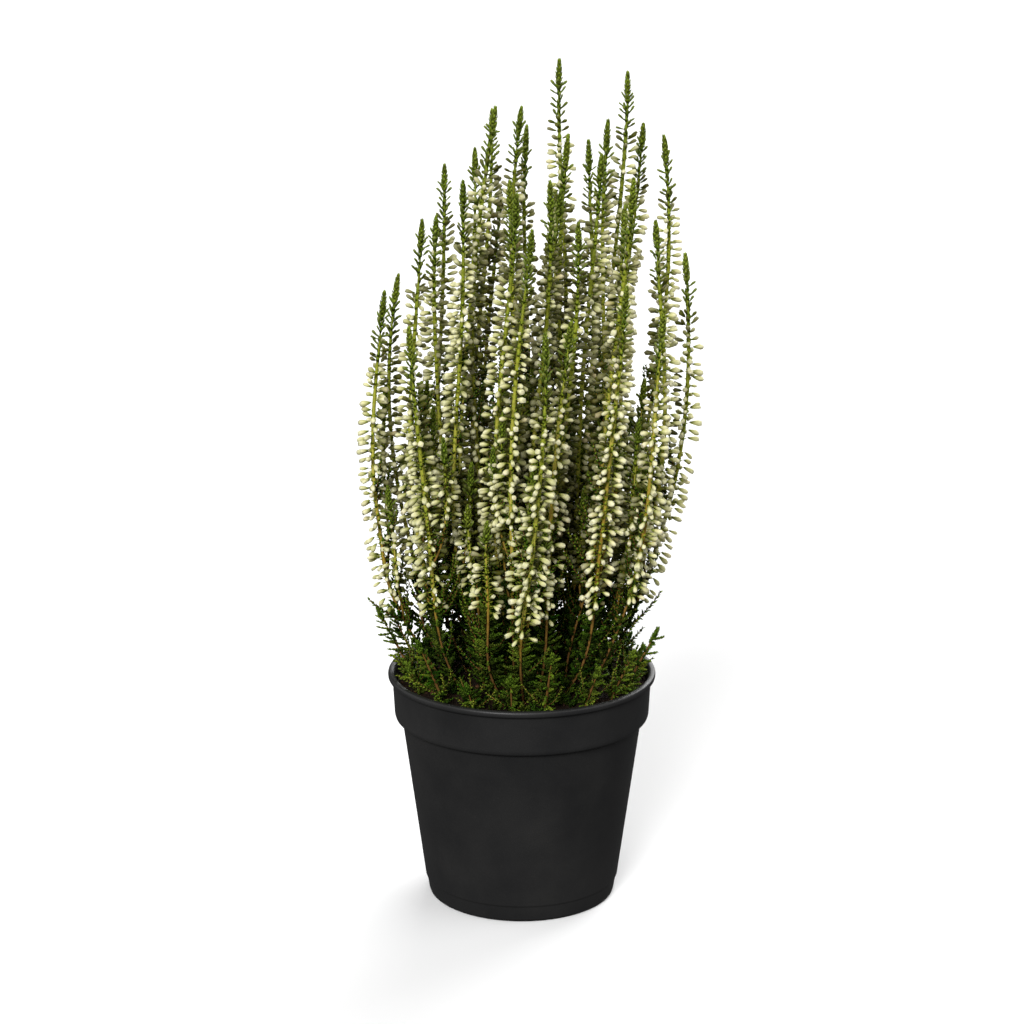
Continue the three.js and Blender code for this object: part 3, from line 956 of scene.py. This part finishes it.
def grow_ground_sprigs():
    """Low clumps of sprigs near the rim, like moss, with bare soil between them."""
    rng = draws("ground")
    tissue = Tissue()
    count = CLUMPS * CLUMP_SPRIGS
    angle = TAU * (np.arange(CLUMPS) + rng.uniform(0, 0.9, CLUMPS)) / CLUMPS
    radius = SOIL_RADIUS - 3 * MM - 14 * MM * rng.random(CLUMPS) ** 1.5
    angle, radius = (np.repeat(a, CLUMP_SPRIGS) for a in (angle, radius))
    x = radius * np.cos(angle) + rng.normal(0, 0.7 * MM, count)
    y = radius * np.sin(angle) + rng.normal(0, 0.7 * MM, count)
    places = np.stack([x, y, [soil_height(*p) - 0.4 * MM for p in zip(x, y)]], -1)
    heading = rng.uniform(0, TAU, count)
    outward = np.cos(heading - angle) > 0
    rise = np.radians(rng.uniform(30, 80, count) + 12 * outward)
    size = rng.uniform(5, 9, count) * np.where(outward, 0.8, 1) * MM
    roll = math.pi * (rise < 0.5 * math.pi)  # with which each one bends down
    axes = outward_axes(UPRIGHT, heading, rise, size, size, size, roll)
    # Painted light: sprigs nearer the rim, more open to the light, are given a lighter tone.
    painted_rim_light = smooth_step(np.hypot(x, y), 0.8 * SOIL_RADIUS, SOIL_RADIUS)
    tone = rng.uniform(0, 0.36, count) + 0.22 * painted_rim_light
    age_and_shade = np.repeat(rng.uniform(0, 0.4, CLUMPS), CLUMP_SPRIGS)
    tissue.mixed(SPRIGS, rng.integers(0, SPRIG_KINDS, count), places, axes, tone, age_and_shade)
    tissue.piece("ground_sprigs", [leaf_finish], "foliage")


# ---- sprays ----


def bud_rows(rng, start, end):
    """Places of the buds along a spray, in crossed pairs: distance, azimuth and share of the way up.

    In every other pair some buds are turned aside, so that the stem shows from the spray's open sides."""
    s = np.repeat(np.arange(start, end, NODE_PITCH), 2)
    count = len(s)
    k = np.arange(count)
    share = np.clip((s - start) / (end - start), 0, 1)
    open_side = math.pi * rng.choice([0.0, 0.0, 0.5, 0.25]) + rng.normal(0, 0.2)
    twist = rng.normal(0, 0.5) * share
    aside = (k // 2) % 2 * (rng.random(count) < TURNED_ASIDE)
    aside = aside * rng.choice([-1, 1], count) * rng.uniform(0.5, 1.0, count)
    turn = open_side + twist + crossed_pairs(k) + aside
    return s + rng.normal(0, 0.2 * NODE_PITCH, count), turn, share


def uneven_rows(rng, start, end):
    """The rows with some buds missing, most at the foot, and second ones added, which the last list marks."""
    s, turn, share = bud_rows(rng, start, end)
    keep = rng.random(len(s)) > MISSING + 0.5 * (1 - smooth_step(share, 0, 0.08))
    double = rng.random(len(s)) < DOUBLED * (1 - share)
    s, turn, share = (np.concatenate([a[keep], a[double]]) for a in (s, turn, share))
    second = np.arange(len(s)) >= keep.sum()
    turn = turn + rng.normal(0, 0.16, len(s)) + second * rng.choice([-0.5, 0.5], len(s))
    return s, turn, share, second


def grow_buds(buds, greens, line, start, end, rng, tint):
    """Buds in crossed pairs with their stalks and bracts, and a scale leaf by each on the stem."""
    s, turn, share, second = uneven_rows(rng, start, end)
    count = len(s)
    green = UNRIPE * min(1, (end - start) / (90 * MM))  # less of a short spray is unripe
    unripe = smooth_step(s, end - 1.9 * green, end - 0.3 * green)
    lift = -9 + 15 * share + 46 * smooth_step(s, end - 2.6 * green, end - 0.3 * green)
    rise = np.radians(lift) + np.radians(rng.normal(0, 11, count)) + second * 0.35
    size = (0.86 + 0.14 * smooth_step(share, 0, 0.2)) * rng.uniform(0.82, 1.14, count)
    size = size * (1 - 0.22 * unripe)
    girth = size * (1 - 0.42 * unripe) * rng.uniform(0.84, 1.16, count)
    basis = line.axes(s)
    stalk_rise = np.radians(20 + 30 * unripe + rng.normal(0, 7, count))
    length = PEDICEL_TOP + (PEDICEL_FOOT - PEDICEL_TOP) * (1 - share) ** 1.5
    reach = STEM_RADIUS * 0.6 + length * rng.uniform(0.7, 1.12, count) * (1 - 0.35 * unripe)
    pedicels = outward_axes(basis, turn, stalk_rise, reach, PEDICEL_RADIUS, PEDICEL_RADIUS)
    base = basis[0] + pedicels[:, :, 2]
    # Painted shade: buds that little of the reckoned light reaches get the dark dull olive of shade in place
    # of their cream, through the value that also marks unripe buds; it darkens their stalks and tints their
    # bracts too.
    shade = 1 - smooth_step(line.light_at(s, turn), DIM, BRIGHT)
    age_and_shade = np.clip(np.maximum(unripe, 0.5 * shade) + rng.normal(0, 0.05, count), 0, 1)
    tone = np.clip(tint + rng.normal(0, 0.2, count), 0, 1)
    roll = rng.normal(0, 0.5, count)
    axes = outward_axes(basis, turn, rise, BUD_LENGTH * size, BUD_RADIUS * girth, BUD_RADIUS * girth, roll)
    lit = shade < SHADED
    which = np.where(lit, rng.integers(0, len(BUDS), count), len(BUDS))
    buds.mixed([*BUDS, PLAIN_BUD], which, base, axes, tone, age_and_shade)
    greens.copies(PEDICEL, basis[0], pedicels, tone, 0.75 + 0.2 * age_and_shade, STEM)
    row = [a[lit] for a in basis]
    foot = (base - 0.25 * MM * unit(pedicels[:, :, 2]))[lit]
    grow_bracts(greens, row, foot, turn[lit], rise[lit], size[lit], tone[lit], 0.5 + 0.3 * age_and_shade[lit])
    grow_stem_leaves(greens, basis, turn, tone, 0.9 - 0.6 * unripe, rng)


def grow_bracts(greens, basis, foot, turn, rise, size, tone, age_and_shade):
    """A small leaf on either side of each bud's foot."""
    for aside in (-0.42, 0.42):
        axes = outward_axes(basis, turn + aside, rise, *np.outer(BRACT, size))
        greens.copies(LEAF, foot, axes, tone, age_and_shade, LEAVES)


def grow_stem_leaves(greens, basis, turn, tone, age_and_shade, rng):
    """A scale leaf pressed to the stem beside each bud's stalk."""
    from_stalk = 0.785
    turn = turn + from_stalk
    rise = np.radians(rng.normal(78, 5, len(turn)))
    axes = outward_axes(basis, turn, rise, LEAF_LENGTH, 0.75 * MM, 0.25 * MM)
    base = basis[0] + 0.8 * STEM_RADIUS * across(basis, turn)
    greens.copies(LEAF, base, axes, 0.7 + 0.3 * tone, age_and_shade, LEAVES)


def grow_branch(buds, greens, line, start, azimuth, length, rng, tint):
    """A lesser spray that leaves the stem at start and runs up beside it."""
    branch = beside(line, start, azimuth, rng.uniform(6.5, 10) * MM, length)
    end = branch.length
    ages = [(0, 0.2), (0.3 * end, 0.4), (end, 0.9)]
    grow_stem(greens, branch, end - 3 * MM, BRANCH_RADIUS, 0.6 * length, 4, ages, rng)
    grow_buds(buds, greens, branch, 0.3 * end, end - 9 * MM, rng, tint)
    grow_candle(greens, branch, end - 11 * MM, end, BRANCH_CANDLE, rng, rng.uniform(0.35, 0.65))


def grow_spray_stem(greens, line, first_bud, tint, rng):
    """The stem of a spray: brown and thin below its buds, then ochre, yellow-green and green at the tip."""
    end = line.length
    warm = 60 * MM * float(smooth_step(tint, 0.5, 0.7))  # how much further up it stays brown and ochre
    brown = first_bud - 14 * MM
    ochre = first_bud + 2 * MM + 0.6 * warm
    bright = first_bud + 18 * MM + warm
    ages = [(0, rng.uniform(0, 0.1)), (brown, 0.22), (ochre, 0.38), (bright, 0.58), (end, 1)]
    girths = [(first_bud - 10 * MM, 0.64), (first_bud + 16 * MM, 1)]
    grow_stem(greens, line, end - 3 * MM, STEM_RADIUS, 45 * MM, 6, ages, rng, girths)


def make_spray(node, line, rng):
    """A flowering spray with its leafy foot, side twigs, lesser branches, buds and green tip."""
    ground, end = line.ground(), line.length
    candle = end - CANDLE * rng.uniform(0.85, 1.25) * min(1, end / FULL_LENGTH)
    x, y, _ = line.place(ground + 40 * MM)
    facing = math.atan2(y, x)
    inward = facing + math.pi
    lower = 5 * MM * smooth_step(math.hypot(x, y), 20 * MM, 55 * MM)  # outer sprays bear buds lower down
    first_bud = min(ground + LEAFY + rng.uniform(-6, 8) * MM - lower, candle - 30 * MM)
    buds, greens = Tissue(), Tissue()
    tint = rng.uniform(0.35, 0.75)
    grow_spray_stem(greens, line, first_bud, tint, rng)
    leafy_end = first_bud + 5 * MM
    grow_sprigs(greens, line, ground + MM, leafy_end, SPRIG_LENGTH, facing, rng, rng.uniform(0.1, 0.4))
    grow_front_sprigs(greens, line, ground + 2 * MM, first_bud, facing, rng)
    high = max(ground + 30 * MM, min(ground + 135 * MM, candle - 60 * MM))
    grow_feathers(greens, line, ground + 22 * MM, high, inward, 1.2, BACK_TWIGS, rng)
    grow_feathers(greens, line, ground + 3 * MM, ground + 50 * MM, inward, 2.2, FOOT_TWIGS, rng)
    for _ in range(BRANCHES):
        length = rng.uniform(45, 85) * MM
        start = ground + rng.uniform(25, 60) * MM
        azimuth = inward + rng.uniform(-1.2, 1.2)
        if start + length < candle - 25 * MM:
            grow_branch(buds, greens, line, start, azimuth, length, rng, tint)
    grow_buds(buds, greens, line, first_bud, candle, rng, tint)
    grow_candle(greens, line, candle - 2.5 * MM, end, SPRAY_CANDLE, rng, rng.uniform(0.5, 0.8))
    buds.piece(f"{node}_buds", [bud_finish], "buds", node)
    greens.piece(f"{node}_greens", [stem_finish, leaf_finish], "foliage", node)


# ---- leafy shoots ----


def make_shoot(node, line, rng):
    """A shoot without buds: leafy sprigs to its tip, and a whorl of side twigs at its foot."""
    ground, end = line.ground(), line.length
    x, y, _ = line.place(ground)
    facing = math.atan2(y, x)
    greens = Tissue()
    grow_stem(greens, line, end - 2 * MM, SHOOT_RADIUS, 20 * MM, 5, [(0, 0), (end, 0.3)], rng)
    body = end - 4 * MM
    age_and_shade = rng.uniform(0.05, 0.42)
    grow_sprigs(greens, line, ground + MM, body, SHOOT_SPRIG_LENGTH, facing + math.pi, rng, age_and_shade)
    grow_candle(greens, line, body - 3 * MM, end, SHOOT_CANDLE, rng, age_and_shade)
    for k in range(SHOOT_TWIGS):
        start = ground + rng.uniform(0.3, 5) * MM
        azimuth = TAU * (k + rng.uniform(0, 0.7)) / SHOOT_TWIGS
        over_rim = max(0, math.cos(azimuth - facing))
        length = rng.uniform(9, 16) * MM * (1 - 0.5 * over_rim)
        twig = side_line(line, start, azimuth, math.radians(rng.uniform(20, 55)), length, 0.6)
        grow_feather(greens, twig, rng, 2.5 * MM, rng.uniform(0.05, 0.6), 0.3 * MM)
    greens.piece(f"{node}_greens", [stem_finish, leaf_finish], "foliage", node)


make_pot(plastic_material())
make_soil(soil_material())
scatter_crumbs(crumb_material())
grow_ground_sprigs()

spray_nodes = sorted(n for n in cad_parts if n.startswith("spray_"))
shoot_nodes = sorted(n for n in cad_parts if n.startswith("leafy_shoot_"))
lines = {node: crooked(line_of_node(node), draws("crook", i)) for i, node in enumerate(spray_nodes)}
lines.update({node: line_of_node(node) for node in shoot_nodes})
reckon_light(list(lines.values()))
for i, node in enumerate(spray_nodes):
    make_spray(node, lines[node], draws("spray", i))
for i, node in enumerate(shoot_nodes):
    make_shoot(node, lines[node], draws("shoot", i))

# ---- floor, light and camera ----

FLOOR_SIZE = 40.0
ZOOM = 1.2  # against the photograph
CAMERA_DISTANCE = 1.090  # from the pot's axis, over the floor
CAMERA_HEIGHT = 0.459
CAMERA_PITCH = math.radians(15.2)  # below the horizon
CAMERA_SIDE = -0.004
LENS = 81.6 * ZOOM
SENSOR = 36.0
AMBIENT = 0.08
LIGHTS = {  # degrees around from the front, to the right, and up; width in degrees; power
    "key": (-17, 29, 24, 3.35),
    "back": (156, 34, 50, 2.8),
    "side": (78, 30, 60, 1.0),
    "fill": (-104, 18, 60, 0.6),
    "overhead": (0, 78, 70, 0.65),
}


def make_floor():
    """A pale level floor that fills the view. It sends no light back up into the plant."""
    half = FLOOR_SIZE / 2
    mesh = bpy.data.meshes.new("floor")
    corners = [(-half, -half, 0), (half, -half, 0), (half, half, 0), (-half, half, 0)]
    mesh.from_pydata(corners, [], [(0, 1, 2, 3)])
    material, _, shader = nodes_of("floor_paper")
    set_surface(shader, (0.9, 0.9, 0.9, 1), 1.0, 0.0)
    mesh.materials.append(material)
    floor = new_object("floor", mesh)
    floor.visible_diffuse = False
    floor.visible_glossy = False


def studio_light(name, azimuth, elevation, width, power):
    """A far soft light."""
    data = bpy.data.lights.new(name, "SUN")
    data.energy = power
    data.angle = math.radians(width)
    light = new_object(name, data)
    a, e = math.radians(azimuth), math.radians(elevation)
    toward = Vector((math.sin(a) * math.cos(e), -math.cos(a) * math.cos(e), math.sin(e)))
    light.rotation_euler = toward.to_track_quat("Z", "Y").to_euler()


def make_lights():
    """Dim light from all around, seen as white where it shows over the floor, and the far soft lights."""
    world = bpy.data.worlds.new("studio")
    world.use_nodes = True
    tree = world.node_tree
    seen = tree.nodes.new("ShaderNodeLightPath").outputs["Is Camera Ray"]
    extra = math_node("MULTIPLY", seen, 1 - AMBIENT)
    strength = math_node("ADD", extra, AMBIENT)
    fill(tree.nodes["Background"], {"Color": (1, 1, 1, 1), "Strength": strength})
    bpy.context.scene.world = world
    for name, settings in LIGHTS.items():
        studio_light(name, *settings)


def make_camera():
    data = bpy.data.cameras.new("camera")
    data.lens = LENS
    data.sensor_width = SENSOR
    camera = new_object("camera", data)
    camera.location = (CAMERA_SIDE, -CAMERA_DISTANCE, CAMERA_HEIGHT)
    camera.rotation_euler = (math.pi / 2 - CAMERA_PITCH, 0, 0)
    bpy.context.scene.camera = camera


make_floor()
make_lights()
make_camera()
bpy.context.scene.view_settings.view_transform = "Standard"
